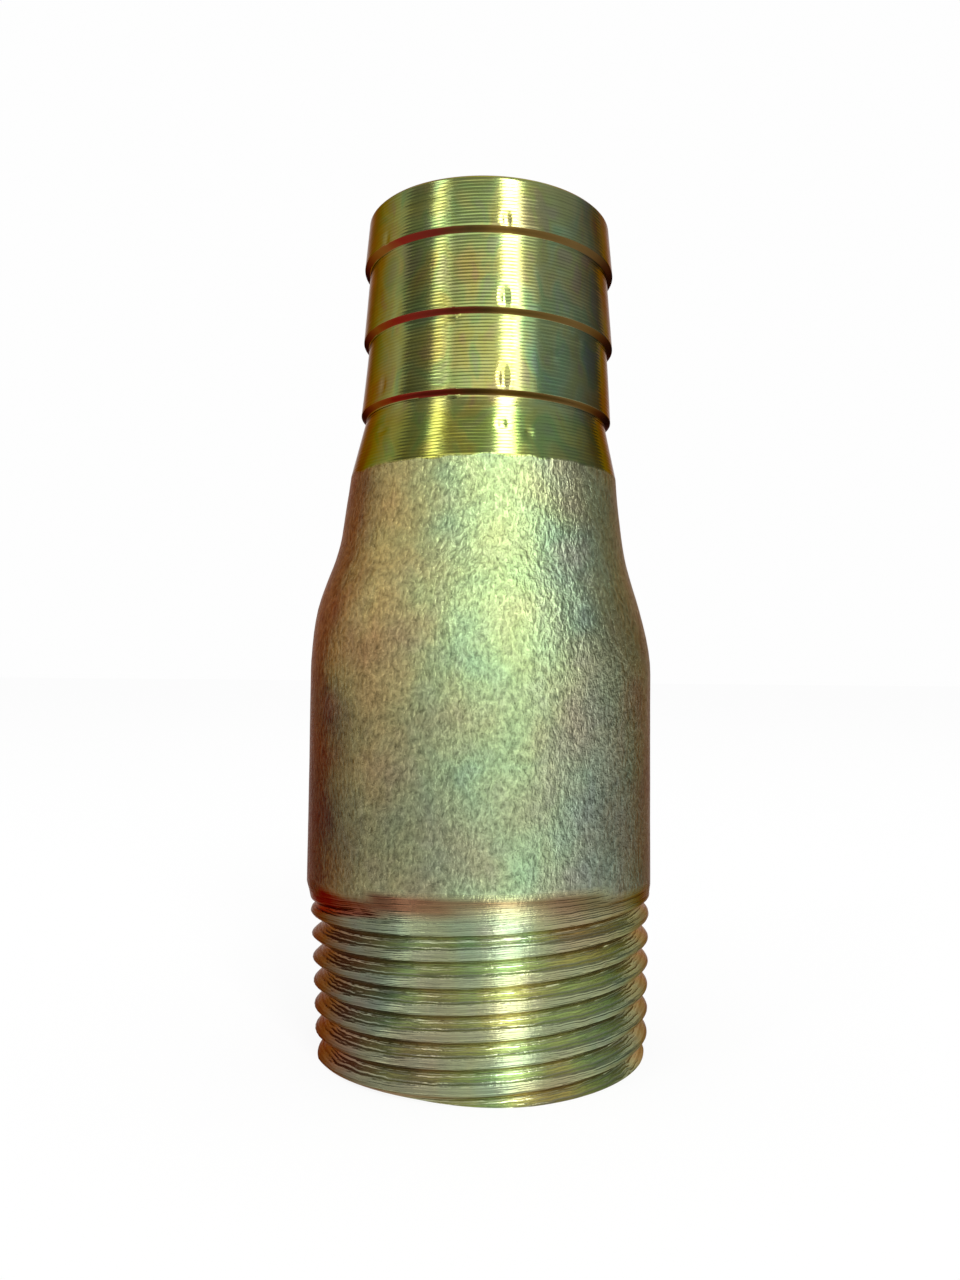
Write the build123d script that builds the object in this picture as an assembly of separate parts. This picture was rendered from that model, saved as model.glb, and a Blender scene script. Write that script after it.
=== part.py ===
from build123d import *
import os
from math import atan, degrees, radians, tan

# Steel hose tail for 3/4 in hose and pipe, made in one piece from a short length of pipe.
# One end of the pipe is swaged down to a neck, and three barbs are turned on it.
# The other end has a right-hand taper thread, cut with the pipe's full wall behind it.
# All sizes are millimetres. Z is the axis, from the threaded end (Z = 0) up to the hose end.

# ---- driving dimensions ----
overall_length = 65.5
pipe_dia = 27.2
pipe_wall = 2.8
shank_bore_dia = 15.0

# barbs, counted from the hose end
barb_count = 3
barb_pitch = 5.97
barb_lead_length = 3.95
barb_crest_dia = 20.2
barb_root_dia = 19.3
barb_back_length = 0.5
nose_dia = 19.5
nose_chamfer = 0.2

# swaged part, from the turned cone down to the pipe's full diameter
turned_cone_foot_height = 44.8
turned_cone_foot_dia = 21.3
neck_half_angle = 7.4
shoulder_half_angle = 18.65
shoulder_corner_height = 32.24
shoulder_radius = 15.0

# thread: 14 turns to the inch, 1 in 16 taper on diameter, with a run-out under the barrel
thread_pitch = 25.4 / 14
thread_taper = 1 / 16
thread_end_dia = 26.0
thread_depth = 1.05
groove_cutter_clearance = 0.3
thread_flank_angle = 30.0
groove_height_on_x = 1.56
groove_turns_below_end = 2
groove_full_turns = 6
thread_runout_length = 4.6
thread_step_height = 12.1
thread_end_chamfer = 0.25
thread_step_angle = 35.0

# way through, from the pipe's own bore to the drilled shank
bore_cone_foot_height = 31.5
bore_cone_top_height = 40.0
bore_chamfer = 0.5

# ---- worked out from those ----
pipe_radius = pipe_dia / 2
pipe_bore_radius = pipe_radius - pipe_wall
shank_bore_radius = shank_bore_dia / 2
crest_radius = barb_crest_dia / 2
root_radius = barb_root_dia / 2
nose_radius = nose_dia / 2
cone_foot_radius = turned_cone_foot_dia / 2
shoulder_slope = tan(radians(shoulder_half_angle))
neck_slope = tan(radians(neck_half_angle))
thread_slope = thread_taper / 2


def thread_crest_radius(height):
    """Radius of the thread's crests at a height, on the taper's cone."""
    return thread_end_dia / 2 + height * thread_slope


def neck_foot():
    """Where the neck's cone, down from the turned cone, meets the shoulder's cone."""
    rise = pipe_radius - cone_foot_radius
    rise += shoulder_slope * shoulder_corner_height - neck_slope * turned_cone_foot_height
    height = rise / (shoulder_slope - neck_slope)
    return cone_foot_radius + neck_slope * (turned_cone_foot_height - height), height


def barb_outline():
    """Points of the three barbs, from the top of the turned cone up to the nose."""
    points = []
    for barb in reversed(range(barb_count)):
        crest_height = overall_length - barb_lead_length - barb * barb_pitch
        points.append((root_radius, crest_height - barb_back_length))
        points.append((crest_radius, crest_height))
    points.append((nose_radius, overall_length - nose_chamfer))
    points.append((nose_radius - nose_chamfer, overall_length))
    return points


def thread_blank_outline():
    """Points of the thread's blank, from the end face up to the step under the barrel."""
    step_radius = thread_crest_radius(thread_step_height)
    step_rise = (pipe_radius - step_radius) / tan(radians(thread_step_angle))
    return [
        (thread_crest_radius(0) - thread_end_chamfer, 0),
        (thread_crest_radius(thread_end_chamfer), thread_end_chamfer),
        (step_radius, thread_step_height),
        (pipe_radius, thread_step_height + step_rise),
    ]


def outer_section():
    """Half section of the tail as a full bar: thread blank, barrel, swage, cone and barbs."""
    low_points = thread_blank_outline()
    shoulder = FilletPolyline(
        low_points[-1], (pipe_radius, shoulder_corner_height), neck_foot(), radius=shoulder_radius
    )
    low = Polyline([(0, 0)] + low_points)
    high_points = [neck_foot(), (cone_foot_radius, turned_cone_foot_height)] + barb_outline()
    high = Polyline(high_points + [(0, overall_length), (0, 0)])
    return make_face(low.edges() + shoulder.edges() + high.edges())


def bore_section():
    """Half section of the way through: the pipe's bore, the swage's cone and the drilled shank."""
    top = overall_length
    return make_face(
        Polyline(
            (0, 0),
            (pipe_bore_radius + bore_chamfer, 0),
            (pipe_bore_radius, bore_chamfer),
            (pipe_bore_radius, bore_cone_foot_height),
            (shank_bore_radius, bore_cone_top_height),
            (shank_bore_radius, top - bore_chamfer),
            (shank_bore_radius + bore_chamfer, top),
            (0, top),
            close=True,
        )
    )


def turned(section):
    """A half section drawn in X and Y, stood up on Z and turned once round the axis."""
    return revolve(Plane.XZ * section, Axis.Z, 360)


def groove_cutter(root_radius_at_start, start_height, length, cone_angle):
    """A helical bar with the groove's V section, its edge on the path."""
    path = Helix(
        thread_pitch, length, root_radius_at_start, center=(0, 0, start_height), cone_angle=cone_angle
    )
    reach = thread_depth + groove_cutter_clearance
    half_mouth = reach * tan(radians(thread_flank_angle))
    plane = Plane(origin=path @ 0, x_dir=(1, 0, 0), z_dir=path % 0)
    section = plane * make_face(
        Polyline((0, 0), (reach, -half_mouth), (reach, half_mouth), close=True)
    )
    return sweep(section, path=path, is_frenet=True)


def thread_cutters():
    """The full groove on the taper, then the run-out that climbs out into the barrel."""
    start = groove_height_on_x - groove_turns_below_end * thread_pitch
    joint = start + groove_full_turns * thread_pitch
    full_groove = groove_cutter(
        thread_crest_radius(start) - thread_depth, start, joint - start, degrees(atan(thread_slope))
    )
    joint_root = thread_crest_radius(joint) - thread_depth
    runout_slope = (pipe_radius - joint_root) / thread_runout_length
    runout_groove = groove_cutter(
        joint_root, joint, thread_runout_length, degrees(atan(runout_slope))
    )
    return full_groove, runout_groove


blank = turned(outer_section()) - turned(bore_section())
full_groove, runout_groove = thread_cutters()
tail = blank - full_groove - runout_groove
os.makedirs("parts", exist_ok=True)
export_step(tail, "parts/hose_tail.step")
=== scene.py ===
from math import atan2, ceil, cos, degrees, hypot, pi, radians, sin, tan, tau

import bmesh
import bpy
from mathutils import Matrix, Vector, noise


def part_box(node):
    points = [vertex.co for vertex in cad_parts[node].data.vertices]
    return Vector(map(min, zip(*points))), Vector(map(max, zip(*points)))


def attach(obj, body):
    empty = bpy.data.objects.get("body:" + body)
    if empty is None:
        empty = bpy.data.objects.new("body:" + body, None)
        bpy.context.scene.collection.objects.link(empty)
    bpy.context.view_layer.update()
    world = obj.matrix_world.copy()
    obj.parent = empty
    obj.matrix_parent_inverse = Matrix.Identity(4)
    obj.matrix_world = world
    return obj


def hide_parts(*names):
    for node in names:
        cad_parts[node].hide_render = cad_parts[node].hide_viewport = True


# A steel hose tail: a short length of pipe, swaged to a neck at one end, turned to three barbs,
# threaded at the other end, and zinc plated with a yellow chromate dip.
# Shapes are drawn in millimetres and put into the frame's metres by mm().
# An azimuth is in degrees round the tail: 0 is the front, at -Y, and 90 is at +X.

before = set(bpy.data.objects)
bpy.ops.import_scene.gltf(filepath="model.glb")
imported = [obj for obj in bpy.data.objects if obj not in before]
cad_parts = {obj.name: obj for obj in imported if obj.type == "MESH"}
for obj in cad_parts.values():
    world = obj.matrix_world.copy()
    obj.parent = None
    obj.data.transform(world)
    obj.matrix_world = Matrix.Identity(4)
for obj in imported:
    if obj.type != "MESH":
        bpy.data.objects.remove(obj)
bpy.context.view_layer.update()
tail_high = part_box("hose_tail")[1]

MM = 0.001

# ---- sizes of the tail, in millimetres ----
total_height = tail_high.z / MM
barrel_radius = tail_high.x / MM
pipe_wall = 2.8
pipe_bore_radius = barrel_radius - pipe_wall
shank_bore_radius = 7.5
bore_chamfer = 0.5
bore_cone_foot = 31.5
bore_cone_top = 40.0

# barbs, and the nose over them
barb_count = 3
barb_pitch = 5.97
barb_lead = 3.95
barb_back = 0.3
crest_radius = 10.1
root_radius = 9.65
nose_radius = 9.75
nose_edge = 0.2

# swage, from the turned cone down to the pipe's full diameter
cone_foot_height = 44.8
cone_foot_radius = 10.7
neck_foot_height = 38.8
neck_foot_radius = 11.45
shoulder_height = 32.24

# taper thread, 14 turns to the inch, which the die cut a little askew and off centre
thread_pitch = 25.4 / 14
thread_end_radius = 13.1
thread_slope = 1 / 32
thread_depth = 1.05
thread_flank_angle = 30
thread_chamfer = 0.2
thread_offset = 0.2
thread_rise_across = 0.47
thread_rise_toward = 0.6
groove_height_on_x = 1.96
groove_root_round = 0.24
crest_round = 0.2
die_stop_height = 11.95
step_height = 12.1
step_slope = 0.7
marks_top = step_height + 3

# heights between which the finish changes: colder on the barrel, painted lighter on the neck
# as a painted highlight, and more golden on the turned cone
barrel_fade_low = 20
barrel_fade_high = 34
neck_shine_low = 26
neck_shine_high = 35
cone_fade_low = 47.6
cone_fade_high = 49

# how finely the surface is divided
columns = 256
thread_row = 0.085
thread_rows_top = step_height + 2.8
turned_row = 0.22
turned_rows_foot = cone_foot_height - 1.2
plain_row = 0.75
bore_row = 4.0


def mm(*values):
    """A length or a point in millimetres, in the frame's metres."""
    if len(values) == 1:
        return values[0] * MM
    return Vector(values) * MM


def bump_curve(value, middle, half_width):
    """A smooth hill of height 1 round the middle, down to 0 at half_width."""
    across = min(abs(value - middle) / half_width, 1)
    return (1 - across * across) ** 2


def smooth_step(value, low, high):
    """0 below low, 1 above high, and an even curve between them."""
    along = min(max((value - low) / (high - low), 0), 1)
    return along * along * (3 - 2 * along)


# ---- the turned and threaded body ----

def thread_cone_radius(height):
    """Radius of the thread's crests at a height."""
    return thread_end_radius + thread_slope * height


def outline():
    """Half outline round the metal: (radius, height, corner radius), from the pipe bore's foot."""
    step_radius = thread_cone_radius(step_height)
    step_top = step_height + (barrel_radius - step_radius) / step_slope
    points = [
        (pipe_bore_radius + bore_chamfer, 0, 0.1),
        (thread_cone_radius(0) - thread_chamfer, 0, 0.15),
        (thread_cone_radius(thread_chamfer), thread_chamfer, 0.3),
        (step_radius, step_height, 0),
        (barrel_radius, step_top, 0),
        (barrel_radius, shoulder_height, 18.5),
        (neck_foot_radius, neck_foot_height, 14.0),
        (cone_foot_radius, cone_foot_height, 0),
    ]
    for barb in reversed(range(barb_count)):
        crest_height = total_height - barb_lead - barb * barb_pitch
        points.append((root_radius, crest_height - barb_back, 0.12))
        points.append((crest_radius, crest_height, 0.1))
    points += [
        (nose_radius, total_height - nose_edge, 0.15),
        (nose_radius - nose_edge, total_height, 0.1),
        (shank_bore_radius + bore_chamfer, total_height, 0.1),
        (shank_bore_radius, total_height - bore_chamfer, 0.1),
        (shank_bore_radius, bore_cone_top, 3.0),
        (pipe_bore_radius, bore_cone_foot, 3.0),
        (pipe_bore_radius, bore_chamfer, 0.1),
    ]
    return points


def row_spacing(radius, height):
    """How far apart the rings of vertices are: finest on the thread, and widest in the bore."""
    in_pipe_bore = radius < pipe_bore_radius + 0.01 and height < bore_cone_top
    in_shank_bore = radius < shank_bore_radius + 0.01
    if in_pipe_bore or in_shank_bore:
        return bore_row
    if 0.01 < height < thread_rows_top:
        return thread_row
    if height > turned_rows_foot:
        return turned_row
    return plain_row


def round_corner(bm, vert, before, after, radius):
    """Rounds one corner of the outline to an arc that touches both its edges."""
    to_before = (before - vert.co).normalized()
    to_after = (after - vert.co).normalized()
    half_turn = (pi - to_before.angle(to_after)) / 2
    bmesh.ops.bevel(
        bm, geom=[vert], offset=mm(radius) * tan(half_turn), segments=6 if radius > 1 else 3,
        profile=0.5, affect="VERTICES", material=-1,
    )


def spun_tail():
    """The outline, its corners rounded, cut into rows and spun once round the axis."""
    bm = bmesh.new()
    points = outline()
    verts = [bm.verts.new(mm(r, 0, z)) for r, z, corner in points]
    for here, following in zip(verts, verts[1:] + verts[:1]):
        bm.edges.new((here, following))
    places = [vert.co.copy() for vert in verts]
    for index, (vert, (r, z, corner)) in enumerate(zip(verts, points)):
        if corner:
            following = places[(index + 1) % len(places)]
            round_corner(bm, vert, places[index - 1], following, corner)
    for edge in list(bm.edges):
        middle = (edge.verts[0].co + edge.verts[1].co) / 2 / MM
        cuts = ceil(edge.calc_length() / MM / row_spacing(middle.x, middle.z)) - 1
        if cuts:
            bmesh.ops.subdivide_edges(bm, edges=[edge], cuts=cuts)
    bmesh.ops.spin(
        bm, geom=bm.verts[:] + bm.edges[:], cent=(0, 0, 0), axis=(0, 0, 1),
        angle=tau, steps=columns, use_merge=True,
    )
    bmesh.ops.remove_doubles(bm, verts=bm.verts, dist=mm(0.002))
    bmesh.ops.recalc_face_normals(bm, faces=bm.faces)
    return bm


# ---- thread, nicks and unevenness, pressed into the spun rows ----

# what the cuts leave on each vertex for the finish, from 0 to 1: whether the die cut there,
# whether it is the plain band under the die's edge, and how far into the groove it lies
surface_marks = ("die_cut", "plain_band", "groove")


def askew(azimuth, across, toward):
    """Height that a tilted ring gains at an azimuth: across to +X, and toward the front."""
    return across * sin(radians(azimuth)) + toward * cos(radians(azimuth))


def die_edge(azimuth):
    """Height of the edge where the die stopped: it slopes to one side and is highest in front."""
    rise_in_front = 2.3 * bump_curve(azimuth, -10, 118)
    return die_stop_height + askew(azimuth, 0.45, 0) + rise_in_front


def groove_depth(azimuth, height):
    """Depth of the groove: less and less over the run-out, and shallower at the front."""
    run_out = 1 - 0.9 * smooth_step(height, 9.6, 14)
    round_the_thread = 1 - 0.05 * sin(radians(azimuth)) - 0.46 * bump_curve(azimuth, 0, 72)
    return thread_depth * run_out * round_the_thread


def threaded(azimuth, turn, place):
    """The thread's radius at a place, and its surface marks there."""
    height = place.z
    over_edge = height - die_edge(azimuth)
    offset = thread_offset - 0.02 * (height - step_height / 2)
    cone = thread_cone_radius(height) + offset * sin(radians(azimuth))
    surface = min(barrel_radius, cone + max(0, over_edge) * step_slope)

    # a round-rooted V groove, rounded again where it meets the crest
    lead = height - groove_height_on_x - thread_pitch * turn
    lead -= askew(azimuth, thread_rise_across, thread_rise_toward)
    off_groove = abs(lead - thread_pitch * round(lead / thread_pitch))
    flank = hypot(off_groove, groove_root_round) - groove_root_round
    cut = groove_depth(azimuth, height) - flank / tan(radians(thread_flank_angle))
    cut = (cut + hypot(cut, crest_round)) / 2

    # no groove in the plain band, which is widest at the left of the front
    band = 0.9 + 0.6 * bump_curve(azimuth, -48, 62)
    cut *= 1 - smooth_step(over_edge, -band, 0.5 - band)

    # crests a little crowned, with a fine torn line beside each one's top
    crown = 0.13 * (1 - off_groove / (thread_pitch / 2)) ** 2
    crown += 0.05 * bump_curve(off_groove, thread_pitch / 2 - 0.1, 0.2)

    die_cut = 1 - smooth_step(over_edge, -0.12, 0.12)
    plain_band = smooth_step(over_edge, -band - 0.4, -band) * die_cut
    radius = surface - (cut + crown) * die_cut
    return radius, (die_cut, plain_band, min(1, cut / 0.5))


def worn_end(azimuth, height):
    """Radius that the worn edge of the thread's end leaves at a height."""
    return thread_cone_radius(0) - 0.12 * bump_curve(azimuth, 40, 60) + 2.5 * height


# azimuth, height, half width, half height, depth
nicks = [
    (7, 62.1, 0.36, 0.9, 0.09),
    (6.5, 56.4, 0.38, 1.1, 0.11),
    (7, 50.5, 0.38, 1.3, 0.13),
    (7, 47.1, 0.38, 0.6, 0.08),
    (18, 46.5, 0.38, 0.6, 0.08),
    (-15, 55.3, 0.45, 0.45, 0.1),
    (-14, 49.4, 0.45, 0.45, 0.1),
    (-50, 47.3, 0.9, 0.4, 0.07),
    (-51, 62.0, 0.42, 0.8, 0.09),
    (-52, 50.8, 0.42, 1.0, 0.09),
    (30, 52.7, 0.45, 0.45, 0.07),
    (45, 54.5, 0.5, 0.5, 0.07),
]


def nick_depth(azimuth, radius, height):
    """How far the nicks at a place go in."""
    depth = 0
    for nick_azimuth, nick_height, half_width, half_height, deepest in nicks:
        across = radians(azimuth - nick_azimuth) * radius / half_width
        along = (height - nick_height) / half_height
        depth += deepest * bump_curve(hypot(across, along), 0, 1)
    return depth


def swage_sink(place):
    """Hollows, always inwards, that the swaging dies left on the neck and the barrel."""
    share = smooth_step(place.z, 13.5, 18) * (1 - smooth_step(place.z, 43.6, 44.8))
    broad = noise.noise(Vector((place.x, place.y, place.z * 0.6)) * 0.16) + 1
    fine = noise.noise(Vector((place.x, place.y, place.z * 0.5)) * 1.1) + 1
    return share * (0.025 * broad + 0.012 * fine)


def sway(height):
    """How far the swaged end stands off the pipe's axis, towards +X."""
    return 0.36 * smooth_step(height, 40, 56) - 0.18 * bump_curve(height, 35, 5)


def ring_tilt(height):
    """Slope of the turned rings across the tail: they were turned a little out of square."""
    return 0.02 * smooth_step(height, 44, 50)


def is_outer(radius, height):
    """True on the outer surface, which alone is cut and marked."""
    in_pipe = radius < pipe_bore_radius + bore_chamfer + 0.3 and height < neck_foot_height
    return radius >= crest_radius - 0.6 and not in_pipe


def work_surface(bm):
    """Moves the outer vertices in to cut the thread, the nicks and the swaged unevenness,
    and leaves the surface marks on them. Then it leans the swaged end."""
    layers = [bm.verts.layers.float.new(name) for name in surface_marks]
    for vert in bm.verts:
        place = vert.co / MM
        radius = hypot(place.x, place.y)
        height = place.z
        if not is_outer(radius, height):
            continue
        azimuth = degrees(atan2(place.x, -place.y))
        new_radius = radius
        if height < marks_top:
            turn = atan2(place.y, place.x) / tau
            new_radius, marks = threaded(azimuth, turn, place)
            new_radius = min(new_radius, worn_end(azimuth, height))
            for layer, mark in zip(layers, marks):
                vert[layer] = mark
        new_radius -= nick_depth(azimuth, radius, height)
        new_radius -= swage_sink(place)
        vert.co.x *= new_radius / radius
        vert.co.y *= new_radius / radius
    for vert in bm.verts:
        height = vert.co.z / MM
        if height > shoulder_height - 4:
            vert.co.z -= vert.co.x * ring_tilt(height)
            vert.co.x += mm(sway(height))


# places of the three finishes among the tail's materials
SKIN, BARB_BACK, BORE = range(3)


def finish_of(face):
    """The finish a face wears: the bore's wall, the back of a barb, or the outer skin."""
    middle = face.calc_center_median()
    if face.normal.xy.dot(middle.xy.normalized()) < -0.3:
        return BORE
    on_barbs = middle.z > mm(cone_foot_height + 2) and middle.xy.length > mm(root_radius - 0.3)
    if on_barbs and face.normal.z < -0.35:
        return BARB_BACK
    return SKIN


# ---- nodes ----

# a Mix node's first input, second input and output, for numbers, vectors and colours
NUMBER_A, NUMBER_B, NUMBER = 2, 3, 0
VECTOR_A, VECTOR_B, VECTOR = 4, 5, 1
COLOUR_A, COLOUR_B, COLOUR = 6, 7, 2


def colour(code):
    """A colour written as sRGB hex, in the linear values that a socket takes."""
    parts = [int(code[i:i + 2], 16) / 255 for i in (0, 2, 4)]
    return [p / 12.92 if p <= 0.04045 else ((p + 0.055) / 1.055) ** 2.4 for p in parts] + [1]


def add(tree, kind, inputs=None, stops=None, **settings):
    """Adds a node with its settings, its ramp's stops and its inputs, set or linked."""
    made = tree.nodes.new(kind)
    for name, value in settings.items():
        setattr(made, name, value)
    for socket, value in (inputs or {}).items():
        if isinstance(value, bpy.types.NodeSocket):
            tree.links.new(value, made.inputs[socket])
        else:
            made.inputs[socket].default_value = value
    if stops:
        ramp = made.color_ramp.elements
        while len(ramp) < len(stops):
            ramp.new(0.5)
        for element, (position, code) in zip(ramp, stops):
            element.position = position
            element.color = colour(code)
    return made


def new_material(name):
    """An empty node material and its tree."""
    material = bpy.data.materials.new(name)
    material.use_nodes = True
    material.node_tree.nodes.clear()
    return material, material.node_tree


def by_azimuth(stops):
    """Stops given by azimuth, at their places on a ramp that goes once round the tail.
    The last repeats the first, because they meet behind it."""
    return [((azimuth + 180) / 360, code) for azimuth, code in stops]


def coordinates(tree):
    """Object coordinates, the azimuth in radians, and the height."""
    place = add(tree, "ShaderNodeTexCoord").outputs["Object"]
    x, y, z = add(tree, "ShaderNodeSeparateXYZ", {0: place}).outputs
    backward = add(tree, "ShaderNodeMath", {0: y, 1: -1.0}, operation="MULTIPLY").outputs[0]
    around = add(tree, "ShaderNodeMath", {0: x, 1: backward}, operation="ARCTAN2").outputs[0]
    return place, around, z


def film_turn(tree, place, around):
    """Place on a ramp that goes once round the tail, drifting so that no colour ends in a line."""
    wander = 0.07
    drift = add(
        tree, "ShaderNodeTexNoise", {"Vector": place, "Scale": 1 / mm(4), "Detail": 4.0}
    ).outputs["Fac"]
    turn = add(
        tree, "ShaderNodeMapRange", {"Value": around, "From Min": -pi, "From Max": pi}
    ).outputs[0]
    turn = add(
        tree, "ShaderNodeMath", {0: drift, 1: wander, 2: turn}, operation="MULTIPLY_ADD"
    ).outputs[0]
    return add(tree, "ShaderNodeMath", {0: turn, 1: wander / 2}, operation="SUBTRACT").outputs[0]


# ---- marks in the skin ----

def turned_share(tree, place, z):
    """1 where the skin was turned and 0 below, with an edge that wanders a little."""
    uneven = add(
        tree, "ShaderNodeTexNoise", {"Vector": place, "Scale": 1 / mm(2.5), "Detail": 2.0}
    ).outputs["Fac"]
    waved = add(
        tree, "ShaderNodeMath", {0: uneven, 1: mm(0.9), 2: z}, operation="MULTIPLY_ADD"
    ).outputs[0]
    low = mm(cone_foot_height + 0.25)
    high = mm(cone_foot_height + 0.45)
    return add(
        tree, "ShaderNodeMapRange", {"Value": waved, "From Min": low, "From Max": high}
    ).outputs[0]


def turning_lines(tree, place):
    """Turning lines, one a feed of 0.26 mm, and rings where the tool bit more or less."""
    feed = 0.26
    # a Wave at scale 1 has 20 radians of wave to the metre
    lines = add(
        tree, "ShaderNodeTexWave",
        {"Vector": place, "Scale": tau / mm(feed) / 20,
         "Distortion": 0.6, "Detail": 1.0, "Detail Scale": 0.4},
        wave_type="BANDS", bands_direction="Z", wave_profile="SIN",
    ).outputs["Fac"]
    ring_place = add(tree, "ShaderNodeMapping", {"Vector": place, "Scale": (0.06, 0.06, 1.0)}).outputs[0]
    rings = add(
        tree, "ShaderNodeTexNoise", {"Vector": ring_place, "Scale": 1 / mm(0.4), "Detail": 3.0}
    ).outputs["Fac"]
    return lines, rings


def torn_lines(tree, place, around):
    """The fine lines a die tears along a thread: 0 to 1, some 4, 7 and 12 to a pitch."""
    lean = (-thread_rise_across / barrel_radius, thread_rise_toward / barrel_radius, 1.0)
    level = add(
        tree, "ShaderNodeVectorMath", {0: place, 1: lean}, operation="DOT_PRODUCT"
    ).outputs["Value"]
    phase = add(
        tree, "ShaderNodeMath", {0: level, 1: tau / mm(thread_pitch)}, operation="MULTIPLY"
    ).outputs[0]
    phase = add(tree, "ShaderNodeMath", {0: phase, 1: around}, operation="SUBTRACT").outputs[0]
    total = None
    for to_a_pitch, wander, drift_size in ((4.0, 5.0, 3.0), (7.0, 8.0, 2.0), (12.0, 8.0, 1.2)):
        drift = add(
            tree, "ShaderNodeTexNoise", {"Vector": place, "Scale": 1 / mm(drift_size), "Detail": 2.0}
        ).outputs["Fac"]
        drift = add(tree, "ShaderNodeMath", {0: drift, 1: wander}, operation="MULTIPLY").outputs[0]
        angle = add(
            tree, "ShaderNodeMath", {0: phase, 1: to_a_pitch, 2: drift}, operation="MULTIPLY_ADD"
        ).outputs[0]
        line = add(tree, "ShaderNodeMath", {0: angle}, operation="SINE").outputs[0]
        line = add(
            tree, "ShaderNodeMath", {0: line, 1: 1 / 6, 2: 1 / 6}, operation="MULTIPLY_ADD"
        ).outputs[0]
        if total:
            line = add(tree, "ShaderNodeMath", {0: total, 1: line}, operation="ADD").outputs[0]
        total = line
    return total


def pickled_grain(tree, grain_place):
    """Grain of the pickled skin, a third of a millimetre across, and blotches four times that."""
    grain = add(
        tree, "ShaderNodeTexNoise",
        {"Vector": grain_place, "Scale": 1 / mm(0.33), "Detail": 3.0, "Roughness": 0.65},
    ).outputs["Fac"]
    blotch = add(
        tree, "ShaderNodeTexNoise", {"Vector": grain_place, "Scale": 1 / mm(1.4), "Detail": 2.0}
    ).outputs["Fac"]
    return grain, blotch


# ---- colours of the chromate film, with painted reflections ----

def film_round_the_tail(tree, turn, turned, die_cut, plain_band):
    """The film's colours round the tail, gold, olive and green, with painted reflections in them:
    red-brown and darker at the sides, lighter at the front right under the key lamp.
    """
    # the stops by azimuth are the film's colour with painted reflections: red-brown and darker at the
    # sides, lighter at the front right
    turned_film = add(tree, "ShaderNodeValToRGB", {"Fac": turn}, stops=by_azimuth([
        (-180, "A0A478"), (-112, "989672"), (-88, "7C5E50"), (-40, "808056"), (-18, "AEAC74"),
        (14, "C0C890"), (32, "B8C8AC"), (52, "8E8E80"), (74, "747062"), (100, "82765E"),
        (180, "A0A478"),
    ])).outputs["Color"]
    swaged_film = add(tree, "ShaderNodeValToRGB", {"Fac": turn}, stops=by_azimuth([
        (-180, "A0AA8C"), (-115, "9C9A80"), (-88, "7C5446"), (-58, "745746"), (-34, "A8986F"),
        (-12, "9EA884"), (12, "B0C496"), (34, "B2B8A2"), (54, "929680"), (80, "78705C"),
        (115, "9C9A80"), (180, "A0AA8C"),
    ])).outputs["Color"]
    thread_film = add(tree, "ShaderNodeValToRGB", {"Fac": turn}, stops=by_azimuth([
        (-180, "A8AC88"), (-88, "6A4A40"), (-50, "7C6A60"), (-22, "9AA28E"), (4, "B4B89A"),
        (30, "BCBE9E"), (52, "A2A686"), (80, "9A8A74"), (180, "A8AC88"),
    ])).outputs["Color"]
    band_film = add(tree, "ShaderNodeValToRGB", {"Fac": turn}, stops=by_azimuth([
        (-180, "8C7C5C"), (-88, "784438"), (-50, "783E36"), (-24, "7C5848"), (5, "A08C70"),
        (50, "7C785C"), (90, "7C6448"), (180, "8C7C5C"),
    ])).outputs["Color"]
    below = add(
        tree, "ShaderNodeMix",
        {"Factor": plain_band, COLOUR_A: thread_film, COLOUR_B: band_film}, data_type="RGBA",
    ).outputs[COLOUR]
    below = add(
        tree, "ShaderNodeMix",
        {"Factor": die_cut, COLOUR_A: swaged_film, COLOUR_B: below}, data_type="RGBA",
    ).outputs[COLOUR]
    return add(
        tree, "ShaderNodeMix",
        {"Factor": turned, COLOUR_A: below, COLOUR_B: turned_film}, data_type="RGBA",
    ).outputs[COLOUR]


def film_tints(tree, film, place, grain_place, turned):
    """The film with its broad patches, and its faint rainbow, a few millimetres across."""
    patch = add(
        tree, "ShaderNodeTexNoise", {"Vector": place, "Scale": 1 / mm(7), "Detail": 1.5}
    ).outputs["Fac"]
    patch_tint = add(
        tree, "ShaderNodeValToRGB", {"Fac": patch},
        stops=[(0.3, "F4E0D4"), (0.42, "F8F2E0"), (0.54, "F0F6E4"), (0.66, "E0F2EC"), (0.78, "F0ECF4")],
    ).outputs["Color"]
    film = add(
        tree, "ShaderNodeMix", {"Factor": 1.0, COLOUR_A: film, COLOUR_B: patch_tint},
        data_type="RGBA", blend_type="MULTIPLY",
    ).outputs[COLOUR]
    rainbow = add(
        tree, "ShaderNodeTexNoise",
        {"Vector": grain_place, "Scale": 1 / mm(2.6), "Detail": 2.0, "Distortion": 0.6},
    ).outputs["Fac"]
    rainbow_tint = add(
        tree, "ShaderNodeValToRGB", {"Fac": rainbow},
        stops=[(0.34, "D8E8FC"), (0.42, "D4F8DC"), (0.5, "FCFCE0"), (0.58, "FCF4B8"), (0.66, "FCD8D4")],
    ).outputs["Color"]
    rainbow_share = add(
        tree, "ShaderNodeMapRange", {"Value": turned, "To Min": 0.14, "To Max": 0.62}
    ).outputs[0]
    return add(
        tree, "ShaderNodeMix", {"Factor": rainbow_share, COLOUR_A: film, COLOUR_B: rainbow_tint},
        data_type="RGBA", blend_type="MULTIPLY",
    ).outputs[COLOUR]


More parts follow.
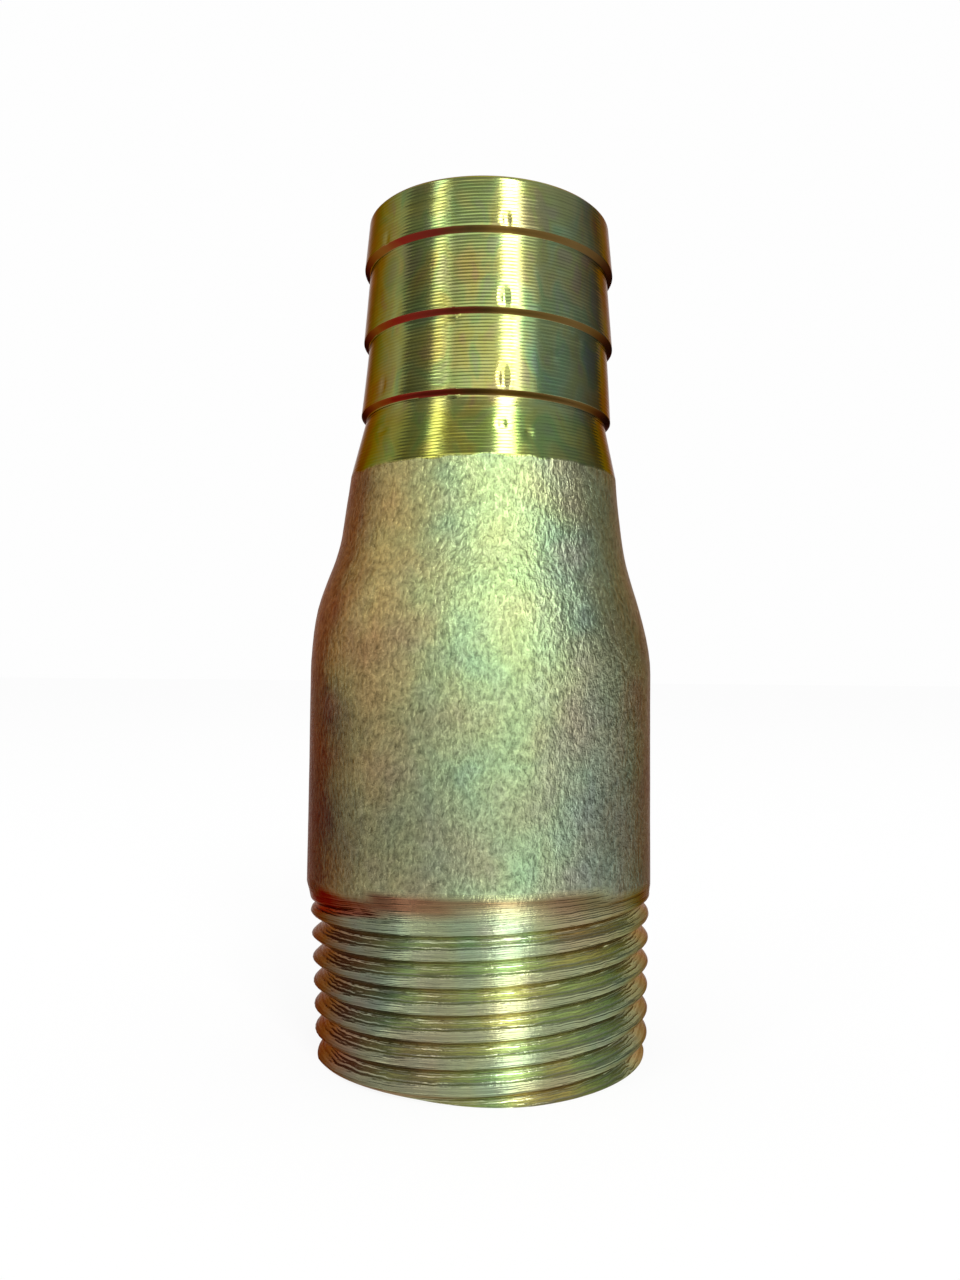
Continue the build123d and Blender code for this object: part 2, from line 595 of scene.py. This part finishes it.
def film_by_height(tree, film, z, turned, die_cut):
    """The film a little colder on the barrel, and more golden on the turned cone."""
    barrel = add(
        tree, "ShaderNodeMapRange",
        {"Value": z, "From Min": mm(barrel_fade_low), "From Max": mm(barrel_fade_high),
         "To Min": 1.0, "To Max": 0.0},
    ).outputs[0]
    barrel = add(
        tree, "ShaderNodeMath", {0: barrel, 1: die_cut}, operation="SUBTRACT", use_clamp=True
    ).outputs[0]
    film = add(
        tree, "ShaderNodeMix", {"Factor": barrel, COLOUR_A: film, COLOUR_B: colour("CDD3E7")},
        data_type="RGBA", blend_type="MULTIPLY",
    ).outputs[COLOUR]
    cone = add(
        tree, "ShaderNodeMapRange",
        {"Value": z, "From Min": mm(cone_fade_low), "From Max": mm(cone_fade_high),
         "To Min": 1.0, "To Max": 0.0},
    ).outputs[0]
    cone = add(tree, "ShaderNodeMath", {0: cone, 1: turned}, operation="MULTIPLY").outputs[0]
    return add(
        tree, "ShaderNodeMix", {"Factor": cone, COLOUR_A: film, COLOUR_B: colour("F4F4D2")},
        data_type="RGBA", blend_type="MULTIPLY",
    ).outputs[COLOUR]


# ---- materials ----

def plated_skin():
    """Bright zinc with a yellow chromate film: olive and gold metal, with green and pink where the film
    is thicker, and painted reflections in its colour: red-brown and darker at the sides, lighter at
    the front right. Turned on the barbs, torn on the thread, and grainy where the swaging left the
    pipe's pickled skin."""
    material, tree = new_material("yellow_chromate_zinc")
    place, around, z = coordinates(tree)
    turn = film_turn(tree, place, around)
    turned = turned_share(tree, place, z)
    die_cut, plain_band, groove = [
        add(tree, "ShaderNodeAttribute", attribute_name=name).outputs["Fac"] for name in surface_marks
    ]
    lines, rings = turning_lines(tree, place)
    torn = torn_lines(tree, place, around)
    # the grain is drawn out along the axis
    grain_place = add(tree, "ShaderNodeMapping", {"Vector": place, "Scale": (1.0, 1.0, 0.7)}).outputs[0]
    grain, blotch = pickled_grain(tree, grain_place)

    # the film's colour round the tail, with painted reflections: red-brown and darker at the sides,
    # lighter at the front right
    film = film_round_the_tail(tree, turn, turned, die_cut, plain_band)
    film = film_tints(tree, film, place, grain_place, turned)
    film = film_by_height(tree, film, z, turned, die_cut)

    # light and dark in the finish: its own lines and grain, and painted light on the neck and in the
    # grooves
    line_light = add(tree, "ShaderNodeMath", {0: lines, 1: rings}, operation="MULTIPLY").outputs[0]
    line_light = add(
        tree, "ShaderNodeMapRange",
        {"Value": line_light, "From Min": 0.0, "From Max": 0.6, "To Min": 0.93, "To Max": 1.09},
    ).outputs[0]
    grain_light = add(
        tree, "ShaderNodeMapRange",
        {"Value": grain, "From Min": 0.38, "From Max": 0.62, "To Min": 0.76, "To Max": 1.3}, clamp=False,
    ).outputs[0]
    # painted light: the grooves are painted lighter, against the shade in them, and the crests darker,
    # against the floor's glare that they reflect
    torn_light = add(
        tree, "ShaderNodeMapRange",
        {"Value": torn, "From Min": 0.15, "From Max": 0.85, "To Min": 0.76, "To Max": 1.12},
    ).outputs[0]
    groove_light = add(
        tree, "ShaderNodeMapRange", {"Value": groove, "To Min": 0.8, "To Max": 1.4}
    ).outputs[0]
    torn_light = add(
        tree, "ShaderNodeMath", {0: torn_light, 1: groove_light}, operation="MULTIPLY"
    ).outputs[0]
    # the grainy skin is painted lighter up the neck and shoulder: a painted highlight
    neck_light = add(
        tree, "ShaderNodeMapRange",
        {"Value": z, "From Min": mm(neck_shine_low), "From Max": mm(neck_shine_high),
         "To Min": 1.0, "To Max": 1.28},
    ).outputs[0]
    grain_light = add(
        tree, "ShaderNodeMath", {0: grain_light, 1: neck_light}, operation="MULTIPLY"
    ).outputs[0]
    light = add(
        tree, "ShaderNodeMix", {"Factor": die_cut, NUMBER_A: grain_light, NUMBER_B: torn_light},
        data_type="FLOAT",
    ).outputs[NUMBER]
    light = add(
        tree, "ShaderNodeMix", {"Factor": turned, NUMBER_A: light, NUMBER_B: line_light},
        data_type="FLOAT",
    ).outputs[NUMBER]
    film = add(tree, "ShaderNodeVectorMath", {0: film, 3: light}, operation="SCALE").outputs[0]

    # relief too fine for the mesh
    grain_height = add(
        tree, "ShaderNodeMath", {0: blotch, 1: 0.9, 2: grain}, operation="MULTIPLY_ADD"
    ).outputs[0]
    grain_bump = add(
        tree, "ShaderNodeBump", {"Strength": 1.0, "Distance": mm(0.17), "Height": grain_height}
    ).outputs[0]
    torn_bump = add(
        tree, "ShaderNodeBump", {"Strength": 1.0, "Distance": mm(0.045), "Height": torn}
    ).outputs[0]
    torn_bump = add(
        tree, "ShaderNodeBump",
        {"Strength": 0.4, "Distance": mm(0.05), "Height": grain_height, "Normal": torn_bump},
    ).outputs[0]
    line_bump = add(
        tree, "ShaderNodeBump", {"Strength": 1.0, "Distance": mm(0.007), "Height": lines}
    ).outputs[0]
    line_bump = add(
        tree, "ShaderNodeBump",
        {"Strength": 1.0, "Distance": mm(0.025), "Height": rings, "Normal": line_bump},
    ).outputs[0]
    normal = add(
        tree, "ShaderNodeMix", {"Factor": die_cut, VECTOR_A: grain_bump, VECTOR_B: torn_bump},
        data_type="VECTOR",
    ).outputs[VECTOR]
    normal = add(
        tree, "ShaderNodeMix", {"Factor": turned, VECTOR_A: normal, VECTOR_B: line_bump},
        data_type="VECTOR",
    ).outputs[VECTOR]

    # the grainy skin is the dullest, and the turned skin the brightest
    rough = add(
        tree, "ShaderNodeMapRange", {"Value": die_cut, "To Min": 0.28, "To Max": 0.25}
    ).outputs[0]
    rough = add(
        tree, "ShaderNodeMapRange", {"Value": turned, "To Min": rough, "To Max": 0.17}
    ).outputs[0]
    # seen edge on, the film turns browner
    shader = add(
        tree, "ShaderNodeBsdfPrincipled",
        {"Base Color": film, "Metallic": 1.0, "Roughness": rough, "Normal": normal,
         "Specular Tint": colour("B89484")},
    ).outputs[0]
    add(tree, "ShaderNodeOutputMaterial", {"Surface": shader})
    return material


def barb_back_film():
    """Painted shade under each barb's crest, with painted reflections in it: dark red, brown and dull
    gold.
    """
    material, tree = new_material("painted_shade_under_barbs")
    place, around = coordinates(tree)[:2]
    turn = film_turn(tree, place, around)
    # the stops by azimuth are painted shade and reflection: dark all round, and red at the front left
    film = add(tree, "ShaderNodeValToRGB", {"Fac": turn}, stops=by_azimuth([
        (-180, "7A5C30"), (-90, "5A3A26"), (-58, "7A5228"), (-42, "78241A"), (-18, "64241A"),
        (-2, "4A3A1E"), (14, "665026"), (40, "6A5430"), (70, "4E3E2C"), (180, "7A5C30"),
    ])).outputs["Color"]
    shader = add(
        tree, "ShaderNodeBsdfPrincipled",
        {"Base Color": film, "Metallic": 1.0, "Roughness": 0.32, "Specular Tint": colour("7A4030")},
    ).outputs[0]
    add(tree, "ShaderNodeOutputMaterial", {"Surface": shader})
    return material


def bore_wall():
    """Zinc inside the way through: duller and greyer than outside, with the pipe's scale under it."""
    material, tree = new_material("dull_zinc_bore")
    place = add(tree, "ShaderNodeTexCoord").outputs["Object"]
    scale = add(
        tree, "ShaderNodeTexNoise", {"Vector": place, "Scale": 1 / mm(0.8), "Detail": 4.0}
    ).outputs["Fac"]
    film = add(
        tree, "ShaderNodeValToRGB", {"Fac": scale},
        stops=[(0.35, "6A6A54"), (0.5, "86886C"), (0.65, "9C9C7E")],
    ).outputs["Color"]
    normal = add(tree, "ShaderNodeBump", {"Distance": mm(0.05), "Height": scale}).outputs[0]
    shader = add(
        tree, "ShaderNodeBsdfPrincipled",
        {"Base Color": film, "Metallic": 1.0, "Roughness": 0.5, "Normal": normal},
    ).outputs[0]
    add(tree, "ShaderNodeOutputMaterial", {"Surface": shader})
    return material


# ---- the piece ----

def as_object(bm, name, *materials):
    """The bmesh as an object in the scene, with its materials."""
    mesh = bpy.data.meshes.new(name)
    bm.to_mesh(mesh)
    bm.free()
    for material in materials:
        mesh.materials.append(material)
    thing = bpy.data.objects.new(name, mesh)
    bpy.context.collection.objects.link(thing)
    return thing


def hose_tail():
    """The whole fitting as one piece."""
    bm = spun_tail()
    work_surface(bm)
    bm.normal_update()
    for face in bm.faces:
        face.smooth = True
        face.material_index = finish_of(face)
    piece = as_object(bm, "plated_tail", plated_skin(), barb_back_film(), bore_wall())
    piece.data.set_sharp_from_angle(angle=radians(50))
    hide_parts("hose_tail")
    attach(piece, "root")


# ---- studio ----

stand_distance = 500
card_distance = 600
streak_near = 15
streak_height = 0.3


def seen_directly(tree):
    """1 where the camera, metal or glass sees a surface, and 0 for the light that it gives."""
    path = add(tree, "ShaderNodeLightPath").outputs
    seen = add(
        tree, "ShaderNodeMath", {0: path["Is Camera Ray"], 1: path["Is Glossy Ray"]}, operation="MAXIMUM"
    ).outputs[0]
    return add(
        tree, "ShaderNodeMath", {0: seen, 1: path["Is Transmission Ray"]}, operation="MAXIMUM"
    ).outputs[0]


def studio_world():
    """White to look at, and a plain level for what it lights."""
    world = bpy.data.worlds.new("studio")
    world.use_nodes = True
    tree = world.node_tree
    tree.nodes.clear()
    level = add(
        tree, "ShaderNodeMapRange", {"Value": seen_directly(tree), "To Min": 0.7, "To Max": 0.99}
    ).outputs[0]
    light = add(tree, "ShaderNodeBackground", {"Color": colour("FFFFFF"), "Strength": level}).outputs[0]
    add(tree, "ShaderNodeOutputWorld", {"Surface": light})
    bpy.context.scene.world = world


def floor():
    """A wide white floor that keeps the object's shadow."""
    bm = bmesh.new()
    bmesh.ops.create_grid(bm, x_segments=1, y_segments=1, size=20)
    material, tree = new_material("white_floor")
    paint = add(tree, "ShaderNodeBsdfDiffuse", {"Color": colour("F4F4F4")}).outputs[0]
    white = add(tree, "ShaderNodeEmission", {"Color": colour("FFFFFF"), "Strength": 1.035}).outputs[0]
    share = add(
        tree, "ShaderNodeMapRange", {"Value": seen_directly(tree), "To Min": 0.0, "To Max": 0.85}
    ).outputs[0]
    mixed = add(tree, "ShaderNodeMixShader", {0: share, 1: paint, 2: white}).outputs[0]
    add(tree, "ShaderNodeOutputMaterial", {"Surface": mixed})
    as_object(bm, "floor", material)


def stand(azimuth, distance, height):
    """A point at an azimuth round the tail, so far from its axis and so high."""
    angle = radians(azimuth)
    return Vector((sin(angle), -cos(angle), 0)) * mm(distance) + Vector((0, 0, mm(height)))


def strip_lamp(name, azimuth, wide, low, high, brightness):
    """A tall softbox: wide in degrees of azimuth, from low to high in degrees of elevation."""
    bottom = stand_distance * tan(radians(low))
    top = stand_distance * tan(radians(high))
    height = total_height / 2 + (top + bottom) / 2
    lamp = bpy.data.lights.new(name, "AREA")
    lamp.shape = "RECTANGLE"
    lamp.size = mm(2 * stand_distance * tan(radians(wide / 2)))
    lamp.size_y = mm(top - bottom)
    lamp.energy = brightness * pi * lamp.size * lamp.size_y
    place = stand(azimuth, stand_distance, height)
    to_tail = Vector((0, 0, mm(height))) - place
    thing = bpy.data.objects.new(name, lamp)
    thing.location = place
    thing.rotation_mode = "QUATERNION"
    thing.rotation_quaternion = to_tail.to_track_quat("-Z", "Y")
    thing.visible_camera = False
    bpy.context.collection.objects.link(thing)


def lit_sheet(name, start, end, turn, steps, code, brightness):
    """The line from start to end swept round the tail's axis: an even sheet that only metal sees."""
    bm = bmesh.new()
    ends = [bm.verts.new(start), bm.verts.new(end)]
    bmesh.ops.spin(
        bm, geom=ends + [bm.edges.new(ends)], cent=(0, 0, 0), axis=(0, 0, 1),
        angle=radians(turn), steps=steps, use_merge=False,
    )
    material, tree = new_material(name)
    glow = add(tree, "ShaderNodeEmission", {"Color": colour(code), "Strength": brightness}).outputs[0]
    add(tree, "ShaderNodeOutputMaterial", {"Surface": glow})
    sheet = as_object(bm, name, material)
    sheet.visible_camera = False
    sheet.visible_diffuse = False
    sheet.visible_shadow = False


def card(name, azimuth_from, azimuth_to, low, high, code):
    """A grey card stood round the tail, from low to high in degrees of elevation."""
    foot = stand(azimuth_from, card_distance, card_distance * tan(radians(low)))
    head = stand(azimuth_from, card_distance, card_distance * tan(radians(high)))
    turn = azimuth_to - azimuth_from
    lit_sheet(name, foot, head, turn, ceil(turn / 10), code, 1.0)


def floor_streak(name, azimuth_from, azimuth_to, brightness):
    """A lamp's own glare on the floor, from the tail outwards."""
    near = stand(azimuth_from, streak_near, streak_height)
    far = stand(azimuth_from, stand_distance, streak_height)
    lit_sheet(name, near, far, azimuth_to - azimuth_from, 6, "FFFFFF", brightness)


def camera():
    """Close to the tail, at mid height, looking up a little and rolled a little."""
    distance = 81.6
    aim = mm(-0.07, 0, 31.96)
    pitch = radians(2.3)
    roll = radians(0.55)
    data = bpy.data.cameras.new("camera")
    data.lens = 28.3
    data.sensor_width = 36
    data.clip_start = mm(5)
    data.clip_end = 50
    ahead = Vector((0, cos(pitch), sin(pitch)))
    turn = ahead.to_track_quat("-Z", "Y").to_matrix() @ Matrix.Rotation(roll, 3, "Z")
    thing = bpy.data.objects.new("camera", data)
    thing.location = aim - ahead * mm(distance)
    thing.rotation_mode = "QUATERNION"
    thing.rotation_quaternion = turn.to_quaternion()
    bpy.context.collection.objects.link(thing)
    bpy.context.scene.camera = thing


hose_tail()
studio_world()
floor()

# the key stands right of the front, parted by a bar, with more light below and above it
strip_lamp("key_left_half", 16.5, 5.5, 8, 34, 2.9)
strip_lamp("key_right_half", 27, 6.5, 8, 34, 3.4)
strip_lamp("key_low", 21, 16, -3.5, 8, 4.2)
strip_lamp("key_high", 21, 15, 34, 54, 10.5)
strip_lamp("fill", -10, 34, 8, 34, 0.32)
strip_lamp("narrow", -37, 3.5, 8, 34, 1.9)
strip_lamp("narrow_low", -42, 7, -3.5, 8, 3.4)
strip_lamp("narrow_high", -50, 10, 34, 50, 4.5)
strip_lamp("side", -94, 10, -3, 34, 0.3)
floor_streak("key_glare", 9, 21, 4.6)
floor_streak("narrow_glare", -43, -38, 3.0)
card("grey_front", -84, 130, -30, 12, "A0A0A0")
card("grey_above", -84, 130, 32, 75, "A0A0A0")
card("dark_right", 44, 130, 12, 32, "808080")
card("dark_left", -84, -50, 12, 32, "787878")
camera()

bpy.context.scene.view_settings.view_transform = "Standard"
